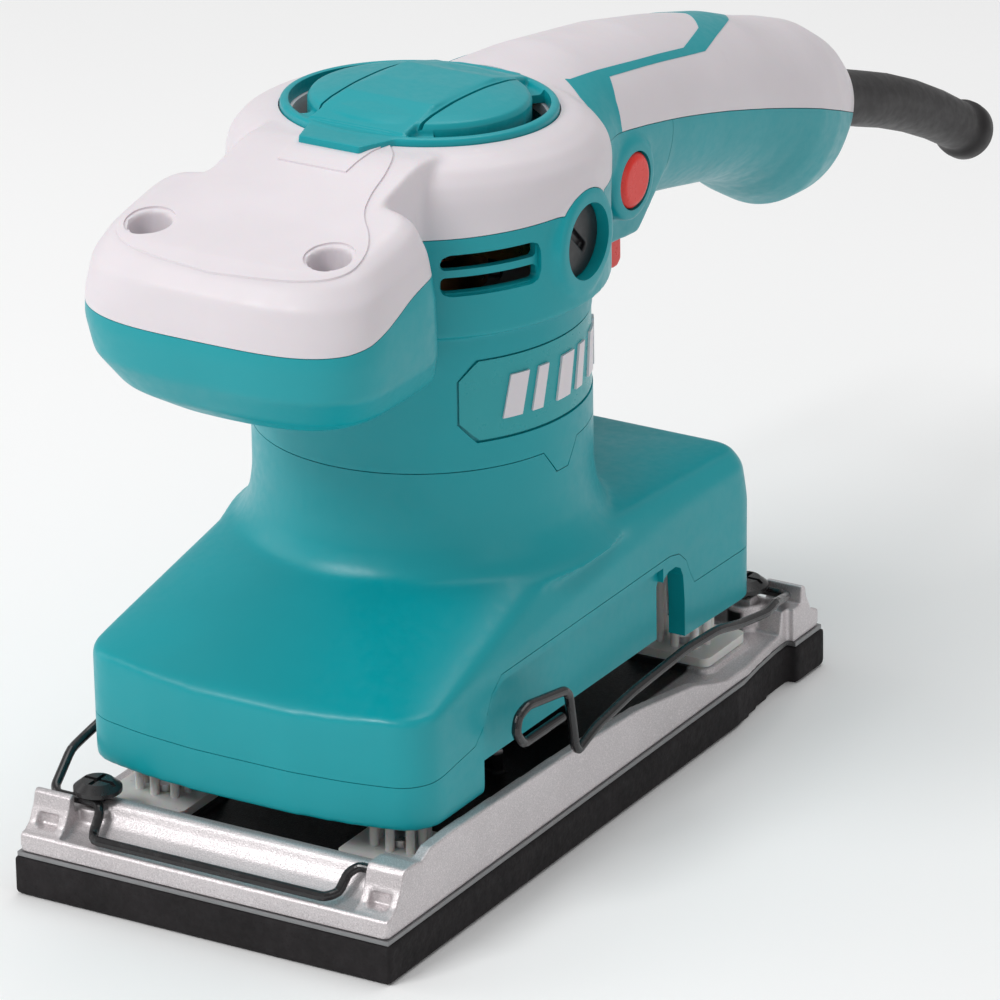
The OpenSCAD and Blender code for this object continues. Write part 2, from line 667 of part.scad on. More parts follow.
module vent_cap() color(teal) on_motor()
  translate([0, 0, 134]) rotate([-tilt, 0, 0]) difference() {
    union() {
      rotate_extrude() polygon([[0, 18.4], [29.3, 18.4], [29.3, 20.4], [28.4, 20.9],
        [24.4, 20.9], [23.2, 22.4], [16, 24], [8, 24.8], [0, 25]]);
      translate([-7.5, -36, 19.95]) cube([15, 10, 1.1]);
    }
    for (s = [0, 1]) mirror([s, 0, 0])
      translate([0, 0, 10]) rotate([0, 0, -52]) rotate_extrude(angle = 104)
        translate([24.4, 0]) square([3.2, 20]);
    translate([0, 0, 10]) cylinder(r = 21, h = 11);
  }

module cover_screws() color("#3a3a3c") on_motor()
  for (x = [-21.5, 21.5]) translate([x, -69.6, 0]) difference() {
    union() {
      translate([0, 0, 117.6]) cylinder(r = 1.7, h = 20);
      translate([0, 0, 137.45]) cylinder(r = 4, h = 2.6);
    }
    translate([-3, -0.5, 139]) cube([6, 1, 3]);
    translate([-0.5, -3, 139]) cube([1, 6, 3]);
  }

module handle_shell() color(teal) on_motor() difference() {
  union() {
    difference() {
      intersection() {
        handle_form(0);
        seam_prism(-gap, false);
        translate([-60, split_y + gap, 50]) cube([120, 200, 100]);
      }
      handle_hollow();
    }
    translate([0, 92, 106]) cylinder(r = 5.6, h = 7.6);
    translate([0, 150, 88]) cylinder(r = 5.6, h = 7.6);
    for (x = [-7.4, 7.4]) translate([x, 136, 94]) cylinder(r = 3, h = 9.9);
  }
  translate([0, 92, 60]) cylinder(r = 4.1, h = 51);
  translate([0, 150, 60]) cylinder(r = 4.1, h = 33);
  for (y = [92, 150]) translate([0, y, 60]) cylinder(r = 1.8, h = 80);
  for (x = [-7.4, 7.4]) translate([x, 136, 96]) cylinder(r = 1.3, h = 12);
  guard_line() translate([0, 0, -30]) cylinder(r = 6.6, h = 60);
  guard_line() translate([0, 0, -22.1]) cylinder(r = 9.1, h = 5.6);
}

module handle_screws() color("#3a3a3c") on_motor()
  for (p = [[92, 108.3], [150, 90.3]]) translate([0, p[0], p[1]]) {
    cylinder(r = 3.6, h = 2.6);
    translate([0, 0, 2.5]) cylinder(r = 1.7, h = 15);
  }

// Raised trim on both flanks of the grip and across its top.
module inlay_band() across(-24, 24, [[41, 151.2], [53, 149], [70.6, 145.6],
  [91.7, 141.4], [107, 140.6], [114, 142], [127, 139], [126, 135], [110, 136.6],
  [99.4, 137], [93.5, 138], [72.5, 142.2], [55, 145.4], [51.4, 142], [49.8, 137],
  [45.4, 137], [41.6, 144]]);

module handle_inlay() color(teal) on_motor() difference() {
  intersection() {
    handle_form(0.35);
    inlay_band();
    seam_prism(1, true);
  }
  handle_form(0.02);
}

// Plain label plate let into each side of the column.
module label_plates() color("#1a868c") on_motor()
  for (s = [0, 1]) mirror([s, 0, 0])
    translate([0, 0, 92.3]) rotate([0, 0, -46.6]) rotate_extrude(angle = 93.2)
      translate([column_r - 0.75, 0]) square([0.6, 18]);

// ---- switch, controls and cord entry ----

module switch_body() color("#242427") on_motor() difference() {
  translate([-9, 44, 111]) cube([18, 27, 18]);
  translate([-4.3, 56.7, 108]) cube([8.6, 8.6, 12.6]);
  translate([0, button_y, button_z]) rotate([0, 90, 0]) translate([0, 0, 4.6])
    cylinder(r = 2.8, h = 6);
}

module trigger() color("#e2473f") on_motor() {
  difference() {
    across(-trigger_w / 2, trigger_w / 2, [[53, 106], [53, 100.2], [54.6, 98.6],
      [68.4, 95.9], [70.6, 95.9], [72, 97.2], [72, 106]]);
    translate([-trigger_w / 2 + 1.6, 54.6, 100.2]) cube([trigger_w - 3.2, 15.8, 20]);
  }
  translate([-4, 57, 99]) cube([8, 8, 16]);
}

module lock_button() color("#e2473f") on_motor() translate([0, button_y, button_z])
  rotate([0, 90, 0]) {
    translate([0, 0, 12.2]) cylinder(r = button_r, h = button_x() - 11.9);
    translate([0, 0, button_x() + 0.3]) cylinder(r1 = button_r, r2 = button_r - 1.2, h = 1);
    translate([0, 0, 7.8]) cylinder(r = 2.5, h = 5);
  }

module cord_guard() color("#262325") on_motor() guard_line() difference() {
  union() {
    translate([0, 0, -21.8]) cylinder(r = 8.8, h = 5);
    translate([0, 0, -21.8]) cylinder(r = 6.3, h = 23);
    translate([0, 0, -5]) cylinder(r1 = 6.5, r2 = 5.2, h = 66);
    translate([0, 0, 61]) cylinder(r1 = 5.2, r2 = 6.1, h = 5);
    translate([0, 0, 66]) cylinder(r = 6.1, h = 2.6);
  }
  translate([0, 0, -30]) cylinder(r = 3.8, h = 110);
}

module cord_clamp() color("#2b2b2e") on_motor() difference() {
  translate([-10.6, 131.6, 104]) cube([21.2, 8.8, 3]);
  translate([0, 125, 101.6]) rotate([-90, 0, 0]) cylinder(r = 3.4, h = 20);
  for (x = [-7.4, 7.4]) translate([x, 136, 96]) cylinder(r = 1.7, h = 20);
}

module cord_clamp_screws() color("#6f6f72") on_motor()
  for (x = [-7.4, 7.4]) translate([x, 136, 0]) {
    translate([0, 0, 107.05]) cylinder(r = 2.6, h = 1.7);
    translate([0, 0, 97]) cylinder(r = 1.25, h = 10.2);
  }

rubber_pad();
backing_sheet();
platen_casting();
front_clamp_wire();
rear_clamp_wire();
clamp_screws();
flex_feet();
foot_screws();
platen_bearing();
eccentric_screw();
eccentric_hub();
counterweight();
cooling_fan();
motor_shaft();
armature_core();
armature_windings();
commutator();
lower_bearing();
upper_bearing();
bearing_plate();
bearing_plate_screws();
stator_core();
field_coils();
brush_holders();
carbon_brushes();
brush_springs();
brush_caps();
base_skirt();
skirt_screws();
base_housing();
motor_housing();
top_cover();
vent_cap();
cover_screws();
handle_shell();
handle_screws();
handle_inlay();
label_plates();
switch_body();
trigger();
lock_button();
cord_guard();
cord_clamp();
cord_clamp_screws();
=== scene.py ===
"""Looks of the orbital finishing sander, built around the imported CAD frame.  Metres, CAD frame."""

import json
import math

import bmesh
import bpy
from mathutils import Matrix, Vector

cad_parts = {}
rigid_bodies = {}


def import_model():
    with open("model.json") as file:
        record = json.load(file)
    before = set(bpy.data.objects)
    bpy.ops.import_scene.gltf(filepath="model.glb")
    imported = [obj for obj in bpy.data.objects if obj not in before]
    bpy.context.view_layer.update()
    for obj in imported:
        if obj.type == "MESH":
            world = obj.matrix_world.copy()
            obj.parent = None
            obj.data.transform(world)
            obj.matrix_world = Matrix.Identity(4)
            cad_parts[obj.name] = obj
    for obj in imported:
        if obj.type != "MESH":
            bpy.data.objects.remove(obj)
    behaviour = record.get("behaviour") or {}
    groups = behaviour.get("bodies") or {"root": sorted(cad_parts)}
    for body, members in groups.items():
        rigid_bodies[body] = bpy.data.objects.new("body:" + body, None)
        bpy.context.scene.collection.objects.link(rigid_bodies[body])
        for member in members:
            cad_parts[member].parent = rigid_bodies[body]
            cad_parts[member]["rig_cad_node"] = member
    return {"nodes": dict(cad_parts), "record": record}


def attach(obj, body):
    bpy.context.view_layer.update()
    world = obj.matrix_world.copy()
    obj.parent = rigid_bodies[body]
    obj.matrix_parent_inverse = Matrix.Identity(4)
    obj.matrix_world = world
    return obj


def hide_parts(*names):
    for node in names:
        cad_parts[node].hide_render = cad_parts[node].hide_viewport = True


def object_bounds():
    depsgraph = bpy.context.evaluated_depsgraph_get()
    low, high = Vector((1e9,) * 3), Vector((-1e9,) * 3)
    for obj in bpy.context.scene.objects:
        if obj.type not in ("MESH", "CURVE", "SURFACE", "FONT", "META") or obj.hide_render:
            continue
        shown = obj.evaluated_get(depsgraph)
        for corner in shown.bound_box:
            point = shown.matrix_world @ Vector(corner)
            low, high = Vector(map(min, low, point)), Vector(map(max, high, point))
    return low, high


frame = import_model()
cad_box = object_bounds()
nodes = frame["nodes"]
MM = 0.001
COARSE = 1.0
THROW = 1.0  # the housing sits one throw ahead of the pad's middle
GAP = 0.09  # half of the line left open along a shell seam

COLUMN_R = 36.3
COLUMN_SEAM_Z = 86
HEAD_R = 40.5
BRUSH_Z = 131.5
BUTTON = (53, 124)  # y and z of the lock button's axis
SPLIT_Y = 73  # where the motor housing meets the handle's underside
WELL_X, WELL_Y = 21.5, -69.6  # cover screw wells in the nose
CAP_Z, CAP_TILT = 134.0, 3.9  # base of the domed head and its lean to the rear, in degrees
GUARD_Y, GUARD_Z, GUARD_DROP = 187, 95.7, 24.6  # where the cord guard leaves, and how steeply
GUARD_LENGTH, GUARD_SAG = 68.6, 9.6


# ---------------------------------------------------------------- camera and studio

AZIMUTH, ELEVATION, DISTANCE, ROLL = 30.94, 22.80, 1.74212, -0.88
LENS = 301.3
TARGET = Vector((0.03262, -0.02389, 0.080))
WORLD_STRENGTH = 0.43
FLOOR_SIZE = 60  # metres, so that no edge of it shows
LIGHT_AIM = (0, 0.02, 0.08)
LIGHTS = (  # name, place, width and height, power
    ("key", (-0.4, -0.95, 0.95), (0.5, 0.35), 7.6),
    ("fill", (-1.2, -0.4, 0.5), (0.8, 0.8), 2.6),
    ("side", (1.25, -0.2, 0.35), (0.8, 0.6), 0.9),
    ("top", (0.0, 0.35, 1.2), (0.9, 0.9), 5.0),
)


def add_camera():
    a, e = math.radians(AZIMUTH), math.radians(ELEVATION)
    back = Vector((math.sin(a) * math.cos(e), -math.cos(a) * math.cos(e), math.sin(e)))
    data = bpy.data.cameras.new("camera")
    data.sensor_width = 36
    data.lens = LENS
    data.clip_start = 0.05
    camera = bpy.data.objects.new("camera", data)
    bpy.context.scene.collection.objects.link(camera)
    camera.location = TARGET + back * DISTANCE
    turn = (-back).to_track_quat("-Z", "Y").to_matrix() @ Matrix.Rotation(math.radians(ROLL), 3, "Z")
    camera.rotation_euler = turn.to_euler()
    bpy.context.scene.camera = camera


def add_area(name, place, size, power):
    data = bpy.data.lights.new(name, "AREA")
    data.shape = "RECTANGLE"
    data.size, data.size_y = size
    data.energy = power
    light = bpy.data.objects.new(name, data)
    bpy.context.scene.collection.objects.link(light)
    light.location = place
    light.rotation_euler = (Vector(LIGHT_AIM) - Vector(place)).to_track_quat("-Z", "Y").to_euler()


def add_studio():
    bpy.context.scene.view_settings.view_transform = "Standard"
    world = bpy.data.worlds.new("studio")
    world.use_nodes = True
    world.node_tree.nodes["Background"].inputs["Color"].default_value = (1, 1, 1, 1)
    world.node_tree.nodes["Background"].inputs["Strength"].default_value = WORLD_STRENGTH
    bpy.context.scene.world = world
    for light in LIGHTS:
        add_area(*light)
    bpy.ops.mesh.primitive_plane_add(size=FLOOR_SIZE, location=(0, 0, cad_box[0].z))
    floor = bpy.context.object
    floor.name = "floor"
    floor.data.materials.append(MAT["floor"])


# ---------------------------------------------------------------- materials

MAT = {}


class Nodes:
    """Small helper for building one node material."""

    def __init__(self, name):
        self.material = bpy.data.materials.new(name)
        self.material.use_nodes = True
        self.tree = self.material.node_tree
        self.shader = self.tree.nodes["Principled BSDF"]
        self.coords = self.tree.nodes.new("ShaderNodeTexCoord").outputs["Object"]
        MAT[name] = self.material

    def link(self, a, b):
        self.tree.links.new(a, b)

    def noise(self, scale, detail=4.0, rough=0.55):
        n = self.tree.nodes.new("ShaderNodeTexNoise")
        n.inputs["Scale"].default_value = scale
        n.inputs["Detail"].default_value = detail
        n.inputs["Roughness"].default_value = rough
        self.link(self.coords, n.inputs["Vector"])
        return n.outputs["Fac"]

    def cells(self, scale):
        n = self.tree.nodes.new("ShaderNodeTexVoronoi")
        n.inputs["Scale"].default_value = scale
        self.link(self.coords, n.inputs["Vector"])
        return n.outputs["Distance"]

    def ramp(self, source, stops):
        r = self.tree.nodes.new("ShaderNodeValToRGB")
        while len(r.color_ramp.elements) < len(stops):
            r.color_ramp.elements.new(0.5)
        for element, (place, colour) in zip(r.color_ramp.elements, stops):
            element.position = place
            element.color = (*colour, 1)
        self.link(source, r.inputs["Fac"])
        return r.outputs["Color"]

    def span(self, source, low, high, a=0.0, b=1.0):
        m = self.tree.nodes.new("ShaderNodeMapRange")
        m.inputs["From Min"].default_value = low
        m.inputs["From Max"].default_value = high
        m.inputs["To Min"].default_value = a
        m.inputs["To Max"].default_value = b
        self.link(source, m.inputs["Value"])
        return m.outputs["Result"]

    def mix(self, share, a, b):
        m = self.tree.nodes.new("ShaderNodeMix")
        m.data_type = "RGBA"
        self.link(share, m.inputs["Factor"])
        for value, socket in ((a, m.inputs["A"]), (b, m.inputs["B"])):
            if isinstance(value, tuple):
                socket.default_value = (*value, 1)
            else:
                self.link(value, socket)
        return m.outputs["Result"]

    def within(self, x, y, z):
        """1 inside |x|, |y| and under z of the mesh's own coordinates, 0 outside."""
        apart = self.tree.nodes.new("ShaderNodeSeparateXYZ")
        self.link(self.coords, apart.inputs["Vector"])
        fade_z, fade_side = 0.0006, 0.0008
        share = self.span(apart.outputs["Z"], z, z - fade_z)
        for axis, limit in (("X", x), ("Y", y)):
            size = self.tree.nodes.new("ShaderNodeMath")
            size.operation = "ABSOLUTE"
            self.link(apart.outputs[axis], size.inputs[0])
            both = self.tree.nodes.new("ShaderNodeMath")
            both.operation = "MULTIPLY"
            self.link(share, both.inputs[0])
            self.link(self.span(size.outputs[0], limit, limit - fade_side), both.inputs[1])
            share = both.outputs[0]
        return share

    def edges(self):
        """1 along convex edges, 0 on flat ground."""
        g = self.tree.nodes.new("ShaderNodeNewGeometry")
        return self.span(g.outputs["Pointiness"], 0.52, 0.62)

    def bump(self, source, strength, depth):
        b = self.tree.nodes.new("ShaderNodeBump")
        b.inputs["Strength"].default_value = strength
        b.inputs["Distance"].default_value = depth
        self.link(source, b.inputs["Height"])
        before = self.shader.inputs["Normal"].links
        if before:
            self.link(before[0].from_socket, b.inputs["Normal"])
        self.link(b.outputs["Normal"], self.shader.inputs["Normal"])

    def set(self, **values):
        for key, value in values.items():
            socket = self.shader.inputs[key.replace("_", " ")]
            if hasattr(value, "is_output"):
                self.link(value, socket)
            else:
                socket.default_value = (*value, 1) if isinstance(value, tuple) else value


def tint(colour, share):
    return tuple(max(0.0, min(1.0, c * share)) for c in colour)


def moulded(name, colour, rough, grain=2600.0, depth=0.02 * MM, sheen=0.5, scatter=0.0):
    """Injection-moulded plastic: fine spark-eroded grain, faint flow mottling, rubbed edges."""
    m = Nodes(name)
    flow = m.noise(22.0, 3.0)
    dirt = m.noise(180.0, 5.0, 0.6)
    base = m.ramp(flow, [(0.3, tint(colour, 0.95)), (0.7, tint(colour, 1.05))])
    marked = m.mix(m.span(dirt, 0.62, 0.8, 0.0, 0.12), base, tint(colour, 0.8))
    m.set(
        Base_Color=m.mix(m.span(m.edges(), 0.0, 1.0, 0.0, 0.1), marked, tint(colour, 1.3)),
        Roughness=m.span(m.noise(420.0, 4.0), 0.3, 0.7, rough - 0.06, rough + 0.08),
        Specular_IOR_Level=sheen,
    )
    if scatter:
        m.set(Subsurface_Weight=scatter, Subsurface_Scale=2.0 * MM)
    m.bump(m.noise(grain, 2.0, 0.7), 0.35, depth)
    m.bump(m.cells(grain * 0.6), 0.18, depth)


def metal(name, colour, rough, depth=0.02 * MM):
    """Bare metal with a fine grain, tarnish patches and brighter edges."""
    m = Nodes(name)
    patch = m.noise(60.0, 4.0)
    base = m.ramp(patch, [(0.3, tint(colour, 0.82)), (0.7, tint(colour, 1.08))])
    m.set(
        Metallic=1.0,
        Base_Color=m.mix(m.edges(), base, tint(colour, 1.25)),
        Roughness=m.span(m.noise(300.0, 5.0), 0.3, 0.7, rough - 0.08, rough + 0.1),
    )
    m.bump(m.noise(900.0, 4.0, 0.65), 0.3, depth)


def sand_cast(name, colour):
    """Die-cast aluminium, shot-blasted: a sparkle of bright facets over a soft grey."""
    m = Nodes(name)
    fleck = m.cells(3000.0)
    speck = m.noise(4200.0, 2.0, 0.8)
    patch = m.noise(34.0, 4.0)
    base = m.ramp(patch, [(0.3, tint(colour, 0.86)), (0.7, tint(colour, 1.06))])
    dark = m.mix(m.span(speck, 0.52, 0.66, 0.0, 0.5), base, tint(colour, 0.5))
    bright = m.mix(m.span(fleck, 0.55, 0.8, 0.0, 0.35), dark, tint(colour, 1.4))
    painted_shade_under_housing = m.within(0.0352, 0.0765, 0.0172)  # near-black floor between the rails: painted shade under the housing
    m.set(
        Metallic=0.72,
        Base_Color=m.mix(painted_shade_under_housing, bright, (0.022, 0.021, 0.022)),
        Roughness=m.span(speck, 0.35, 0.65, 0.30, 0.6),
    )
    m.bump(speck, 0.55, 0.06 * MM)
    m.bump(fleck, 0.4, 0.08 * MM)
    m.bump(m.noise(380.0, 4.0), 0.3, 0.12 * MM)


def foam_rubber(name, colour):
    """Closed-cell rubber pad: cut sides with small open cells."""
    m = Nodes(name)
    pore = m.cells(1100.0)
    patch = m.noise(90.0, 5.0)
    base = m.ramp(patch, [(0.3, tint(colour, 0.75)), (0.7, tint(colour, 1.4))])
    m.set(
        Base_Color=m.mix(m.span(pore, 0.0, 0.28, 0.7, 0.0), base, tint(colour, 0.35)),
        Roughness=m.span(m.noise(500.0, 3.0), 0.3, 0.7, 0.72, 0.92),
        Specular_IOR_Level=0.3,
    )
    m.bump(pore, 0.5, 0.12 * MM)
    m.bump(m.noise(1600.0, 3.0, 0.7), 0.5, 0.08 * MM)


def backdrop():
    m = Nodes("floor")
    m.set(
        Base_Color=m.ramp(m.noise(3.0, 2.0), [(0.3, (0.95, 0.95, 0.95)), (0.7, (0.97, 0.97, 0.97))]),
        Roughness=0.9,
        Specular_IOR_Level=0.1,
    )


TEAL = (0.001, 0.325, 0.37)
WHITE = (0.74, 0.69, 0.725)
moulded("teal_plastic", TEAL, 0.36, sheen=0.42)
moulded("label_plastic", (0.012, 0.33, 0.36), 0.30, grain=3400.0, depth=0.01 * MM, sheen=0.45)
moulded("white_plastic", WHITE, 0.40, sheen=0.42, scatter=0.08)
moulded("red_plastic", (0.83, 0.028, 0.018), 0.3, grain=3400.0, depth=0.008 * MM)
moulded("black_plastic", (0.011, 0.010, 0.012), 0.34)
moulded("fan_plastic", (0.03, 0.03, 0.033), 0.5)
moulded("white_nylon", (0.78, 0.77, 0.75), 0.33, grain=3000.0, depth=0.01 * MM, scatter=0.35)
moulded("carbon", (0.03, 0.03, 0.031), 0.6)
moulded("guard_rubber", (0.013, 0.011, 0.012), 0.45, grain=3200.0, depth=0.012 * MM, sheen=0.4)
foam_rubber("black_rubber", (0.014, 0.012, 0.013))
sand_cast("cast_aluminium", (0.68, 0.635, 0.645))
metal("sheet_steel", (0.27, 0.27, 0.275), 0.5)
metal("zinc_steel", (0.55, 0.55, 0.56), 0.3)
metal("bearing_steel", (0.62, 0.62, 0.63), 0.2, depth=0.005 * MM)
metal("zinc_alloy", (0.36, 0.36, 0.37), 0.5, depth=0.04 * MM)
metal("laminated_steel", (0.2, 0.2, 0.21), 0.5, depth=0.04 * MM)
metal("copper", (0.6, 0.25, 0.11), 0.34)
metal("brass", (0.62, 0.46, 0.18), 0.3)
moulded("black_wire", (0.010, 0.009, 0.010), 0.22, grain=3600.0, depth=0.006 * MM, sheen=0.6)
moulded("black_steel", (0.015, 0.014, 0.015), 0.3, grain=1200.0, sheen=0.6)
backdrop()

for part in frame["record"]["subparts"]:
    slot = part["material_slot"]
    look = "guard_rubber" if part["node"] == "cord_guard" else slot
    obj = nodes[part["node"]]
    obj.data.materials.clear()
    obj.data.materials.append(MAT[look])


# ---------------------------------------------------------------- solids in mesh code, in mm


def solid(name, verts, faces):
    """Closed mesh object from points in mm, given about the motor axis."""
    mesh = bpy.data.meshes.new(name)
    mesh.from_pydata([(x * MM, (y - THROW) * MM, z * MM) for x, y, z in verts], [], faces)
    bm = bmesh.new()
    bm.from_mesh(mesh)
    bmesh.ops.recalc_face_normals(bm, faces=bm.faces)
    bm.to_mesh(mesh)
    bm.free()
    obj = bpy.data.objects.new(name, mesh)
    bpy.context.scene.collection.objects.link(obj)
    return obj


def skin(name, rings):
    """Closed skin through rings of equally many points."""
    n = len(rings[0])
    verts = [p for ring in rings for p in ring]
    faces = [tuple(range(n)), tuple(range(len(verts) - 1, len(verts) - 1 - n, -1))]
    for i in range(len(rings) - 1):
        for k in range(n):
            m = (k + 1) % n
            faces.append((i * n + k, (i + 1) * n + k, (i + 1) * n + m, i * n + m))
    return solid(name, verts, faces)


def rounded_rect(w, y0, y1, r, z, steps=7):
    """Section of width w about the middle, from y0 to y1, with corners of radius r."""
    ring = []
    for sx, sy, start in ((1, 1, 0), (-1, 1, 90), (-1, -1, 180), (1, -1, 270)):
        cx, cy = sx * (w / 2 - r), (y1 - r) if sy > 0 else (y0 + r)
        for i in range(steps + 1):
            a = math.radians(start + 90 * i / steps)
            ring.append((cx + r * math.cos(a), cy + r * math.sin(a), z))
    return ring


def bowed(w, y0, y1, power, z, slope=0.0, n=72):
    """Oval section whose front bows out; power sets how square its corners are."""
    ring, cy, a, b = [], (y0 + y1) / 2, w / 2, (y1 - y0) / 2
    for i in range(n):
        c, s = math.cos(2 * math.pi * i / n), math.sin(2 * math.pi * i / n)
        p = 2 / (power if s < 0 else 6)
        y = cy + b * math.copysign(abs(s) ** p, s)
        ring.append((a * math.copysign(abs(c) ** p, c), y, z + slope * (y + 62)))
    return ring


def circle(r, z, n=96):
    """Ring of n points about the motor axis."""
    return [(r * math.cos(2 * math.pi * i / n), r * math.sin(2 * math.pi * i / n), z) for i in range(n)]


def hull(name, points):
    """Convex hull of points in mm."""
    obj = solid(name, [], [])
    bm = bmesh.new()
    for x, y, z in points:
        bm.verts.new((x * MM, (y - THROW) * MM, z * MM))
    made = bmesh.ops.convex_hull(bm, input=bm.verts)
    spare = [v for v in made["geom_interior"] if isinstance(v, bmesh.types.BMVert)]
    bmesh.ops.delete(bm, geom=spare, context="VERTS")
    bm.to_mesh(obj.data)
    bm.free()
    return obj


def prism(name, x0, x1, outline):
    """A side profile in the YZ plane carried across X."""
    return skin(name, [[(x, y, z) for y, z in outline] for x in (x0, x1)])


def box(name, x0, x1, y0, y1, z0, z1):
    return prism(name, x0, x1, [(y0, z0), (y1, z0), (y1, z1), (y0, z1)])


def turned(name, profile, n=128, place=None):
    """A turned solid from (radius, height) points, the first and last on the axis."""
    rings = [circle(r, z, n) for r, z in profile]
    if place:
        rings = [[tuple(place @ Vector(p)) for p in ring] for ring in rings]
    return skin(name, rings)


def peg(r, z0, z1, n=128, place=None):
    """A plain cylinder, used to cut or to build up."""
    return turned("peg", [(0, z0), (r, z0), (r, z1), (0, z1)], n, place)


def along_x(x, y, z):
    """Frame whose local Z runs along +X from a point."""
    return Matrix.Translation((x, y, z)) @ Matrix.Rotation(math.pi / 2, 4, "Y")


def tilted():
    """Frame of the domed head and its vent cap, leaning to the rear."""
    return Matrix.Translation((0, 0, CAP_Z)) @ Matrix.Rotation(-math.radians(CAP_TILT), 4, "X")


def loft(name, sections, n=64):
    """Elliptical sections: y, z, drop of the axis in degrees, half width, half height."""
    rings = []
    for y, z, drop, a, b in sections:
        s = math.radians(drop)
        ring = []
        for k in range(n):
            t = 2 * math.pi * (k + 0.5) / n
            v = b * math.sin(t)
            ring.append((a * math.cos(t), y - v * math.sin(s), z - v * math.cos(s)))
        rings.append(ring)
    return skin(name, rings)


def arc_block(name, a0, a1, r0, r1, z0, z1, corner=0.0, steps=28, chamfer=False):
    """A curved plate about the motor axis from angle a0 to a1, with rounded or cut corners."""
    rings = []
    reach = math.degrees(corner / r1) if corner else 0.0
    stops = [a0 + (a1 - a0) * i / steps for i in range(steps + 1)]
    for part in (0.04, 0.15, 0.35, 0.65):
        stops += [a0 + reach * part, a1 - reach * part]
    for a in sorted(set(stops)):
        near = min(a - a0, a1 - a)
        drop = 0.0
        if corner and near < reach:
            u = 1 - near / reach
            drop = corner * u if chamfer else corner * (1 - math.sqrt(max(0.0, 1 - u * u)))
        c, s = math.cos(math.radians(a)), math.sin(math.radians(a))
        rings.append([(r * c, r * s, z) for r, z in
                      ((r0, z0 + drop), (r1, z0 + drop), (r1, z1 - drop), (r0, z1 - drop))])
    return skin(name, rings)


def smooth_line(points, rounds=2):
    """Corner cutting on an open line, its ends kept."""
    for _ in range(rounds):
        out = [points[0]]
        for (y0, z0), (y1, z1) in zip(points, points[1:]):
            out += [(0.75 * y0 + 0.25 * y1, 0.75 * z0 + 0.25 * z1),
                    (0.25 * y0 + 0.75 * y1, 0.25 * z0 + 0.75 * z1)]
        points = out + [points[-1]]
    return points


def evaluated(obj):
    """New mesh with the object's modifiers applied."""
    return bpy.data.meshes.new_from_object(obj.evaluated_get(bpy.context.evaluated_depsgraph_get()))


def drop(*objs):
    for o in objs:
        bpy.data.objects.remove(o)


def boolean(obj, steps):
    """Applies (operation, tool) pairs in turn and returns obj with its new mesh."""
    for operation, tool in steps:
        m = obj.modifiers.new("cut", "BOOLEAN")
        m.operation = operation
        m.solver = "MANIFOLD"
        m.object = tool
        tool.hide_render = True
    bpy.context.view_layer.update()
    mesh = evaluated(obj)
    obj.modifiers.clear()
    obj.data = mesh
    return obj


def copy_of(obj, name):
    new = bpy.data.objects.new(name, obj.data.copy())
    bpy.context.scene.collection.objects.link(new)
    return new


def join(name, parts):
    """One object from several, their meshes left as they are."""
    bm = bmesh.new()
    for p in parts:
        bm.from_mesh(p.data)
    obj = solid(name, [], [])
    bm.to_mesh(obj.data)
    bm.free()
    drop(*parts)
    return obj


def fuse(name, parts, voxel, rounds):
    """Melts overlapping solids into one skin with soft moulded radii."""
    obj = join(name, parts)
    remesh = obj.modifiers.new("remesh", "REMESH")
    remesh.mode = "VOXEL"
    remesh.voxel_size = voxel * MM * COARSE
    smooth = obj.modifiers.new("relax", "SMOOTH")
    smooth.factor = 0.5
    smooth.iterations = max(1, int(rounds / COARSE**2))
    obj.data = evaluated(obj)
    obj.modifiers.clear()
    return obj


def finish_piece(obj, look, node=None, sharp=38.0):
    """Material, smooth shading with crisp edges, and the calls that tie a housing piece to the frame."""
    obj.hide_render = False
    obj.data.materials.clear()
    obj.data.materials.append(MAT[look])
    obj.data.shade_smooth()
    obj.data.set_sharp_from_angle(angle=math.radians(sharp))
    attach(obj, "housing")
    if node:
        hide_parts(node)


# ---------------------------------------------------------------- lower housing and its skirt

# Sections of the lower housing: width, front y, rear y, corner radius, z.
BASE = [
    (84, -71.6, 72.4, 9, 24), (84, -72, 72.8, 9, 49), (58, -73.6, 74, 6, 24), (58, -73.6, 74, 6, 48),
    (30, -74.6, 74.6, 3, 24), (30, -74.6, 74.6, 3, 47), (83, 30, 71, 8, 57), (78, 26, 69, 6, 60.4),
]
# Line between the housing and its skirt: y, z.
SPLIT = [(-90, 33), (-66, 34.5), (-50, 36.5), (-46, 40), (-43, 45.5), (-39, 48.5), (32, 48.5),
         (36, 47.6), (39, 45), (41, 41), (42.6, 38.6), (60, 38.2), (90, 37)]


def base_hull(name, o, dz):
    """The lower housing's outer form, offset by o and moved by dz."""
    points = []
    for w, y0, y1, r, z in BASE:
        points += rounded_rect(w + 2 * o, y0 - o, y1 + o, r, z + dz)
    return hull(name, points + circle(38.5 + o, 63.5 + dz))


def split_region(name, e):
    return prism(name, -60, 60, [(-90, 10)] + [(y, z + e) for y, z in SPLIT] + [(90, 10)])


def column_seam(name, e):
    """Space above the seam round the column, with its chevron on each side."""
    space = box(name, -70, 70, -120, 120, COLUMN_SEAM_Z + e, 170)
    tip = 80.6 + e
    for x in (-45, 22):
        tooth = prism("tooth", x, x + 23, [(-10.5 + e, 88), (-5 + e, tip), (-1 - e, tip), (4.5 - e, 88)])
        boolean(space, [("UNION", tooth)])
    return space


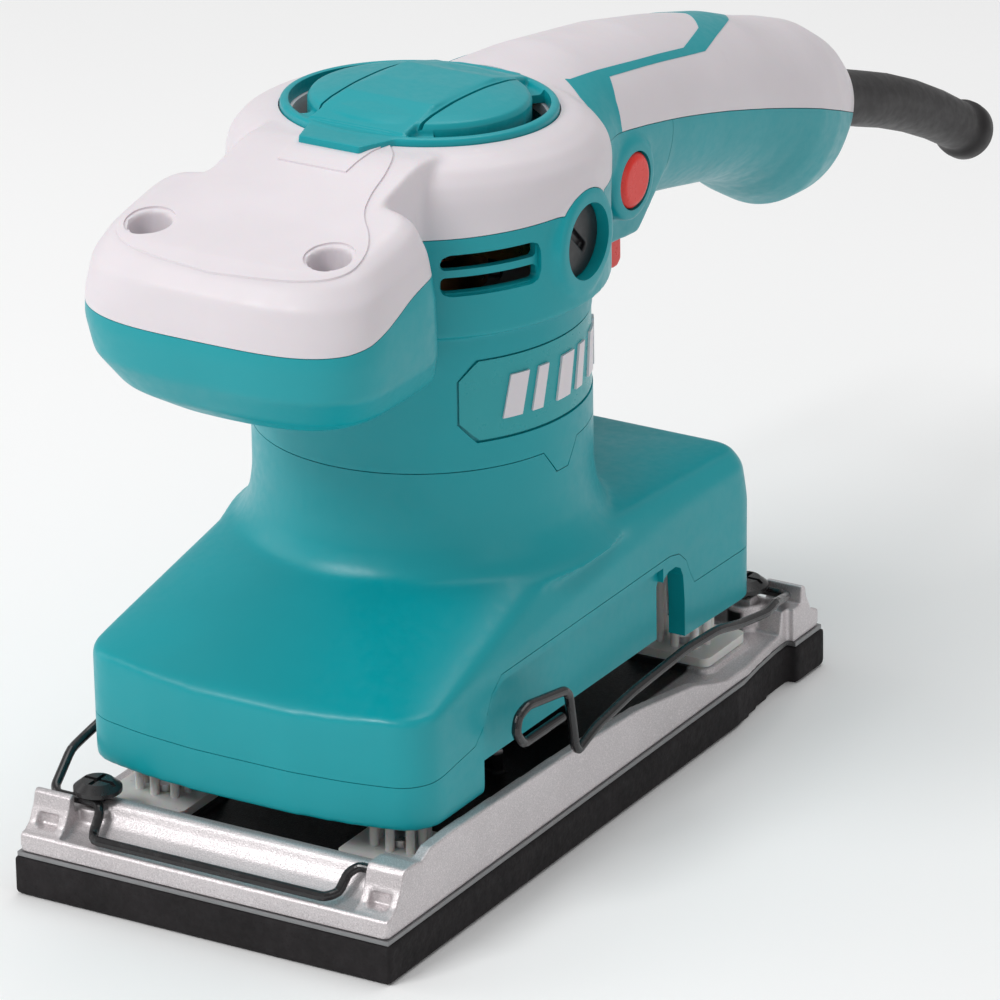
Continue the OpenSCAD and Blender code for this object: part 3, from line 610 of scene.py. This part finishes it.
def build_base():
    """Lower housing and skirt, cut apart along their seam."""
    column = peg(COLUMN_R, 50, 92)
    fillet = turned("t", [(0, 58), (44, 60), (40.6, 62.4), (38.6, 65), (37.1, 68.6), (COLUMN_R, 74), (0, 74)])
    form = fuse("base_form", [base_hull("t", 0, 0), column, fillet], 0.65, 26)
    inside = base_hull("t", -4, -3.2)
    boolean(inside, [("UNION", peg(33.5, 50, 100))])
    seam = column_seam("seam", -0.1)
    housing = boolean(copy_of(form, "base_housing_shell"),
                      [("DIFFERENCE", inside), ("DIFFERENCE", seam), ("DIFFERENCE", split_region("c1", GAP))])
    arch = prism("c2", -70, 70, [(-46.5, 10), (-46.5, 30.7), (28.4, 30.2), (28.4, 42.4), (29.4, 44.2),
                                 (31.4, 45.2), (34.4, 45.2), (36.4, 44.2), (37.6, 42), (38.2, 36),
                                 (38.2, 27.5), (80, 26), (80, 10)])
    skirt = boolean(copy_of(form, "skirt_shell"),
                    [("DIFFERENCE", inside), ("INTERSECT", split_region("c3", -GAP)), ("DIFFERENCE", arch)])
    for s in (-1, 1):
        x0, x1 = sorted((s * 40.6, s * 46))
        panel = prism("c4", x0, x1, [(-46.5, 10), (-46.5, 40), (-42.4, 44.6), (-38.5, 46.9),
                                     (29, 46.9), (29, 10)])
        boolean(skirt, [("DIFFERENCE", panel)])
    finish_piece(housing, "teal_plastic", "base_housing")
    finish_piece(skirt, "teal_plastic", "base_skirt")
    form.hide_render = True


# ---------------------------------------------------------------- motor housing, cover and handle

# Line between the white cover and the teal shells: y, z.
SEAM = smooth_line([(-110, 130.5), (-80, 131), (-66, 135.6), (-58, 138.4), (-50, 139.5), (22, 139.5),
                    (47, 136.9), (85, 128.5), (122, 118), (152, 107.8), (230, 74)])
# Nose sections from the bottom up: width, front y, rear y, squareness, z, slope of the top.
NOSE = [(34, -66, -30, 2.6, 107.6), (50, -74, -34, 2.8, 109.8), (61, -80.4, -38, 3.0, 114),
        (68.2, -84.6, -42, 3.2, 121), (70, -86, -44, 3.3, 129), (69.8, -85.6, -44, 3.3, 135, 0.04),
        (67.4, -83.8, -45, 3.3, 142.6, 0.1), (62, -80.6, -46, 3.3, 147.4, 0.17),
        (56.5, -77.4, -48, 3.2, 149.3, 0.19)]
# Handle sections from the head back, as loft takes them, and the hollow inside them.
HANDLE = [(18, 135.2, 4, 33, 18.2), (30, 134.6, 6, 27.2, 18.7), (47, 133.3, 9, 21.6, 19.8),
          (76, 128.6, 11, 20, 19.8), (98, 123.6, 14, 19.6, 19.4), (118, 118.5, 17, 19.8, 18.8),
          (127, 115.2, 19, 20, 18.6), (134, 112.2, 20, 20, 19.2), (141, 108.8, 21, 20, 20.4),
          (150, 104.6, 22, 19, 21.2), (160, 101, 24, 16.4, 19), (170, 98.7, 24.6, 11.8, 14),
          (176.6, 98.4, 24.6, 6.8, 8.6)]
HOLLOW = [(28, 135, 4, 21, 14), (69, 130.1, 10, 16.5, 14.8), (160, 102.4, 22, 13, 12)]


def seam_region(name, e, up):
    """Everything above (up) or below the cover's seam, the seam moved by e."""
    ends = [(230, 190), (-110, 190)] if up else [(230, 20), (-110, 20)]
    return prism(name, -60, 60, [(y, z + e) for y, z in SEAM] + ends)


def guard_frame():
    """Frame whose local Z runs out along the cord guard."""
    turn = Matrix.Rotation(math.radians(-90 - GUARD_DROP), 4, "X")
    return Matrix.Translation((0, GUARD_Y, GUARD_Z)) @ turn


def wells(r, z0, z1, n=64):
    """A peg on the axis of each cover screw well."""
    return [peg(r, z0, z1, n, Matrix.Translation((x, WELL_Y, 0))) for x in (-WELL_X, WELL_X)]


def head_form():
    """Outer form of head, nose, neck and handle in one skin."""
    parts = [
        peg(COLUMN_R, 76, 121),
        peg(HEAD_R, 117, 140),
        turned("dome", [(0, 0), (HEAD_R, 0), (HEAD_R, 11), (39.7, 14), (37.3, 17), (33.9, 19), (30.4, 19.9),
                        (0, 19.9)], place=tilted()),
        hull("t", [p for s in NOSE for p in bowed(*s)]),
        prism("t", -21, 21, [(-62, 130), (-62, 149.2), (-54, 151.1), (-48, 152.4), (-42, 153.9), (-37, 155.2),
                             (-32, 155.8), (-26, 155.4), (-20, 154.6), (-20, 130)]),
        box("t", -17, 17, -60, -20, 108, 148),
        loft("t", HANDLE),
    ]
    root = loft("root", HANDLE[2:4])
    grip = [tuple(v.co / MM + Vector((0, THROW, 0))) for v in root.data.vertices]
    drop(root)
    grip += [(x, y, z) for x in (-15, 15) for y, z in ((66, 106.2), (66.6, 106.2), (38, 109), (39, 109))]
    parts.append(hull("t", grip))
    parts.append(peg(9, 0, 10.2, 64, along_x(12, *BUTTON)))
    for x in (-41.4, 34):
        parts.append(peg(11.2, 0, 7.4, 64, along_x(x, 0, BRUSH_Z)))
    rough = fuse("rough", parts, 0.6, 14)
    for well in wells(4.5, 137.4, 170):
        boolean(rough, [("DIFFERENCE", well)])
    return fuse("head_form", [rough], 0.6, 5)


def head_inside():
    """Hollow of head, nose and handle, with posts left standing round the screw wells."""
    tool = turned("inside", [(0, 70), (33.7, 70), (33.7, 119), (37.5, 119), (37.5, 142.6), (34, 146.6),
                             (30, 148.4), (0, 148.6)])
    slabs = [(38, -68, -40, 10, 112), (61, -78, -51, 11, 126), (61, -78, -51, 11, 138),
             (48, -71, -51, 8, 142.6)]
    nose = hull("t1", [p for s in slabs for p in rounded_rect(*s)])
    neck = box("t2", -14, 14, -60, -20, 112.5, 146)
    for post in wells(6.6, 110, 150, 48):
        boolean(nose, [("DIFFERENCE", post)])
    boolean(tool, [("UNION", nose), ("UNION", neck), ("UNION", loft("t3", HOLLOW)),
                   ("UNION", box("t4", -12, 12, 20, 80, 110.7, 140)),
                   ("UNION", box("t5", -15.4, 15.4, 20, 80, 118, 140))])
    return tool


def grown(form, name, by):
    """Copy of a form with its skin moved out by so many mm."""
    obj = copy_of(form, name)
    m = obj.modifiers.new("grow", "DISPLACE")
    m.mid_level = 0
    m.strength = by * MM
    obj.data = evaluated(obj)
    obj.modifiers.clear()
    return obj


def plan_prism(name, outline, z0, z1):
    """A plan outline carried up in Z."""
    return skin(name, [[(x, y, z) for x, y in outline] for z in (z0, z1)])


# Raised fields on the cover, in plan: the plateau over nose and neck, and the apron before the cap.
EDGE = smooth_line([(10, -27), (14, -32), (16.4, -39), (17, -46), (19.4, -53.5), (24.8, -59.5), (28.2, -66),
                    (28.4, -72.5), (24, -77), (15, -79.6), (0, -80.6)], 3)
PLATEAU = EDGE + [(-x, y) for x, y in EDGE[-2::-1]]
APRON = [(9.5, -26), (-9.5, -26), (-8.2, -41.5), (8.2, -41.5)]


def build_head():
    """Cover, motor housing and handle underside, cut from one form; returns that form."""
    form, inside = head_form(), head_inside()
    faces = (34, -46)
    rings = [peg(11.28, 0, 12, 96, along_x(x, 0, BRUSH_Z)) for x in faces]
    wide = [peg(11.42, 0, 12, 96, along_x(x, 0, BRUSH_Z)) for x in faces]
    below = boolean(seam_region("below", -GAP, False), [("UNION", r) for r in rings])
    above = boolean(seam_region("above", GAP, True), [("DIFFERENCE", r) for r in wide])
    cord = peg(6.6, -30, 30, 64, guard_frame())

    # white cover over the nose, the head and the handle's top, its raised fields standing proud
    cover = copy_of(form, "cover_shell")
    for outline, height in ((PLATEAU, 0.4), (APRON, 0.75)):
        field = grown(form, "field", height)
        boolean(field, [("INTERSECT", plan_prism("plan", outline, 142, 170))])
        for well in wells(5.4, 120, 170):
            boolean(field, [("DIFFERENCE", well)])
        boolean(cover, [("UNION", field)])
    cuts = [("DIFFERENCE", inside), ("INTERSECT", above), ("DIFFERENCE", cord),
            ("DIFFERENCE", peg(29.6, 18.3, 40, place=tilted())),
            ("DIFFERENCE", peg(26.8, 0, 40, place=tilted()))]
    cuts += [("DIFFERENCE", hole) for hole in wells(1.75, 100, 140, 32)]
    boolean(cover, cuts)
    finish_piece(cover, "white_plastic", "top_cover")

    # teal motor housing with its vents, brush bores, trigger slot and button hole
    motor = copy_of(form, "motor_shell")
    cuts = [("DIFFERENCE", inside), ("INTERSECT", below),
            ("INTERSECT", box("c", -70, 70, -120, SPLIT_Y - GAP, 50, 170)),
            ("INTERSECT", column_seam("c", 0.1)),
            ("DIFFERENCE", peg(6.5, 0, 20, 64, along_x(9.4, *BUTTON))),
            ("DIFFERENCE", box("c", -7.9, 7.9, 52.6, 73.2, 95, 125))]
    for bore_x, vent, label in ((-48, 180 + 36.5, 180), (28, -36.5, 0)):
        cuts.append(("DIFFERENCE", peg(8.25, 0, 20, 72, along_x(bore_x, 0, BRUSH_Z))))
        cuts.append(("DIFFERENCE", arc_block("c", vent - 16.5, vent + 16.5, 39.2, 46, 126.8, 136, 3.2)))
        for z in (127.2, 132.2):
            cuts.append(("DIFFERENCE", arc_block("c", vent - 15.8, vent + 15.8, 30, 46, z, z + 3.4, 1.2)))
        cuts.append(("DIFFERENCE", arc_block("c", label - 47, label + 47, 35.5, 40, 92, 110.6, 4.5,
                                             chamfer=True)))
    boolean(motor, cuts)
    finish_piece(motor, "teal_plastic", "motor_housing")

    # teal underside of the handle
    grip = copy_of(form, "handle_lower_shell")
    boolean(grip, [("DIFFERENCE", inside), ("INTERSECT", below), ("DIFFERENCE", cord),
                   ("INTERSECT", box("c", -70, 70, SPLIT_Y + GAP, 260, 50, 170))])
    finish_piece(grip, "teal_plastic", "handle_shell")
    form.hide_render = True
    return form


# Outline of the teal band on the handle: y, and x minus z, seen at 45 degrees from above.
BAND = [(37, -138), (40, -136), (51.9, -134.4), (69.6, -131.3), (90.7, -127.9), (105.7, -131.7),
        (112.5, -137.2), (116, -141), (134, -141), (130.4, -133.2), (123.6, -130), (108.8, -126.6),
        (98.4, -123.8), (92.5, -124.7), (71.5, -128.2), (54, -130.8), (50.6, -123.5), (49.2, -116.6),
        (48.6, -108), (36, -108), (36.6, -123)]


def build_inlay(form):
    """Teal band let into the white top of the handle, the same on both sides."""
    outer, inner = grown(form, "inlay", 0.1), grown(form, "inner", -0.7)
    tools = []
    for side in (1, -1):
        rings = [[(side * (t + w / 2), y, t - w / 2) for y, w in BAND] for t in (52, 100)]
        tool = skin("side", rings if side > 0 else rings[::-1])
        keep = box("keep", min(0, 60 * side), max(0, 60 * side), 20, 150, 60, 200)
        tools.append(boolean(tool, [("INTERSECT", keep)]))
    boolean(tools[0], [("UNION", tools[1])])
    boolean(outer, [("DIFFERENCE", inner), ("INTERSECT", tools[0]), ("DIFFERENCE", peg(41.0, 60, 170)),
                    ("INTERSECT", seam_region("top", GAP, True))])
    outer.name = "handle_band"
    finish_piece(outer, "teal_plastic", "handle_inlay")


def build_labels():
    """Plain label field on each side of the column, with slanted bars in place of a mark."""
    fields, bars = [], []
    for centre in (0, 180):
        fields.append(arc_block("f", centre - 46.2, centre + 46.2, 35.62, 36.1, 92.5, 110.1, 4.1, 40, True))
        for i in range(6):
            start = centre - 31 + i * 11.6
            lean, wide = 3.2, 4.6 if i % 2 else 7.4
            rings = []
            for k in range(9):
                ring = []
                for r, z, shift in ((35.9, 96.6, 0), (36.62, 96.6, 0), (36.62, 106, lean), (35.9, 106, lean)):
                    u = math.radians(start + wide * k / 8 + shift)
                    ring.append((r * math.cos(u), r * math.sin(u), z))
                rings.append(ring)
            bars.append(skin("b", rings))
    for name, parts, look, node in (("label_fields", fields, "label_plastic", "label_plates"),
                                    ("label_bars", bars, "white_plastic", None)):
        finish_piece(join(name, parts), look, node)


def build_guard():
    """Tapered rubber guard on a gentle curve, with its lip and the cord's bore."""
    frame_in = guard_frame()
    # height along the guard and radius
    outer = [(-21.8, 8.8), (-17.2, 8.8), (-16.8, 6.3), (-9, 6.45), (-4, 6.5), (8, 6.5), (20, 6.4), (34, 6.25),
             (48, 6.05), (60, 5.9), (62, 5.95), (62.9, 6.4), (63.7, 6.85), (65.4, 7.0), (67.4, 6.9),
             (68.3, 6.5), (GUARD_LENGTH, 6.0)]
    inner = [(GUARD_LENGTH, 4.2), (68.1, 3.8), (50, 3.8), (30, 3.8), (10, 3.8), (-21.8, 3.8)]
    n, rings = 64, []
    for h, r in outer + inner:
        t = max(0.0, min(1.0, h / GUARD_LENGTH))
        rise = GUARD_SAG * t * (1 - t)
        lean = math.atan(GUARD_SAG * (1 - 2 * t) / GUARD_LENGTH) if h > 0 else 0.0
        ring = []
        for k in range(n):
            u = 2 * math.pi * k / n
            x, v = r * math.cos(u), r * math.sin(u)
            ring.append(tuple(frame_in @ Vector((x, v * math.cos(lean) - rise, h + v * math.sin(lean)))))
        rings.append(ring)
    verts = [p for ring in rings for p in ring]
    faces = []
    for i in range(len(rings)):
        j = (i + 1) % len(rings)
        for k in range(n):
            m = (k + 1) % n
            faces.append((i * n + k, j * n + k, j * n + m, i * n + m))
    guard = solid("rubber_guard", verts, faces)
    finish_piece(guard, "guard_rubber", "cord_guard", 50)


def build_cap():
    """Vent cap: a rim, two crescent openings, a domed middle with a raised strap and front tongue."""
    dome = turned("t", [(0, 17.6), (23.4, 17.6), (23.6, 21.6), (22.8, 22.9), (20, 23.6), (14, 24.4),
                        (7, 24.9), (0, 25.0)])
    plate = turned("t", [(0, 18.45), (29.3, 18.45), (29.3, 21.0), (28.6, 21.5), (27.6, 21.5), (27.1, 21.1),
                         (27.0, 20.2), (0, 20.2)])
    strap = hull("t", [(x, y, z) for x, y, z in (
        (-11.5, -25, 18.6), (11.5, -25, 18.6), (-11.5, -25, 22), (11.5, -25, 22),
        (-11.5, 25, 18.6), (11.5, 25, 18.6), (-11.5, 25, 22), (11.5, 25, 22),
        (-11, -12, 24.9), (11, -12, 24.9), (-11, 12, 24.9), (11, 12, 24.9), (-9, 0, 25.2), (9, 0, 25.2))])
    tongue = skin("t", [[(x, y, z) for x, y in ((-7.4, -36.2), (7.4, -36.2), (11.5, -24), (-11.5, -24))]
                        for z in (19.0, 21.3)])
    rear = skin("t", [[(x, y, z) for x, y in ((-7.5, 28.9), (7.5, 28.9), (10, 24), (-10, 24))]
                      for z in (19.0, 21.3)])
    cap = fuse("cap", [dome, plate, strap, tongue, rear], 0.4, 5)
    cuts = []
    for s in (0, 180):
        cuts.append(("DIFFERENCE", arc_block("c", s - 52, s + 49, 23.5, 27.5, 10, 30)))
    for x in (-12.2, 12.2):
        cuts.append(("DIFFERENCE", box("c", x - 0.35, x + 0.35, -34, 34, 21.5, 40)))
    boolean(cap, cuts)
    # the solids are already moved by the throw, so the tilt turns about the motor axis
    cap.data.transform(
        Matrix.Translation((0, -THROW * MM, 0)) @ Matrix.Translation((0, 0, CAP_Z * MM))
        @ Matrix.Rotation(-math.radians(CAP_TILT), 4, "X") @ Matrix.Translation((0, THROW * MM, 0)))
    cap.name = "vent_cap_shell"
    finish_piece(cap, "teal_plastic", "vent_cap", sharp=45)


build_base()
build_inlay(build_head())
build_labels()
build_guard()
build_cap()


# ---------------------------------------------------------------- CAD parts that keep their shape


def soften(name, voxel, rounds):
    """Remesh a CAD part finely and relax it, so its edges get the small radii of a moulding."""
    obj = nodes[name]
    remesh = obj.modifiers.new("remesh", "REMESH")
    remesh.mode = "VOXEL"
    remesh.voxel_size = voxel * MM
    remesh.use_smooth_shade = True
    smooth = obj.modifiers.new("relax", "SMOOTH")
    smooth.factor = 0.5
    smooth.iterations = rounds


# Voxel in mm and rounds of smoothing for each.
SOFT = {
    "rubber_pad": (0.6, 3),
    "platen_casting": (0.4, 2),
    "trigger": (0.35, 4),
    "lock_button": (0.35, 4),
    "brush_caps": (0.3, 2),
}
SOFT_COARSE = 1
for name, (voxel, rounds) in SOFT.items():
    soften(name, voxel * SOFT_COARSE, rounds)

# the hidden solids that the cuts were made with
for spare in [o for o in bpy.data.objects if o.type == "MESH" and o.hide_render and "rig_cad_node" not in o]:
    bpy.data.objects.remove(spare)

add_camera()
add_studio()
